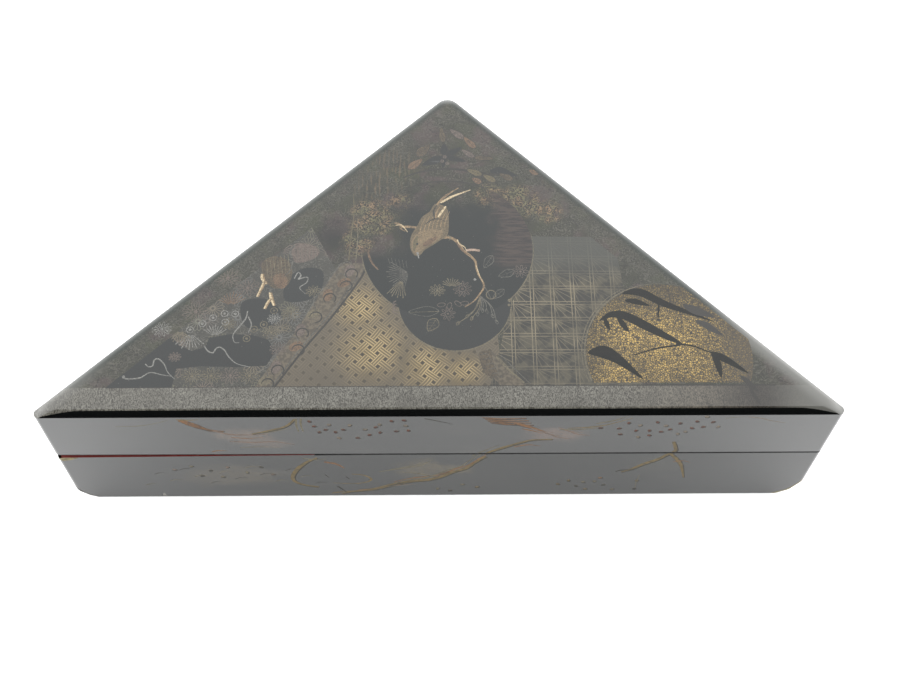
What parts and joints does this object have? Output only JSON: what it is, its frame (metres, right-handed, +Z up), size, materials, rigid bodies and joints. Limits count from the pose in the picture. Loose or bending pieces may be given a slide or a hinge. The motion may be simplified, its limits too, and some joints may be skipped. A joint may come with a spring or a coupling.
{
  "type": "lacquer box",
  "caption": "Low triangular lidded box in black lacquer, with a sprinkled-gold picture of birds, leaves and woven patterns on its lift-off lid.",
  "frame": {"origin": "middle of the bounding box at the underside, on the surface that the box stands on", "axes": "+X along the long side, to the right as seen from it; +Y from the long side towards the square corner; +Z up"},
  "size_m": [0.2942, 0.1478, 0.0757],
  "materials": {
    "side_lacquer": "polished black lacquer over wood with thin gold and russet sprays, red lacquer inside and on the seam, bare wood where chipped",
    "lid_lacquer": "polished black lacquer over wood with sprinkled gold, brown and silver powder, worn along the edges"
  },
  "bodies": {
    "root": {"box_body": "side_lacquer", "lid": "lid_lacquer"}
  },
  "joints": []
}
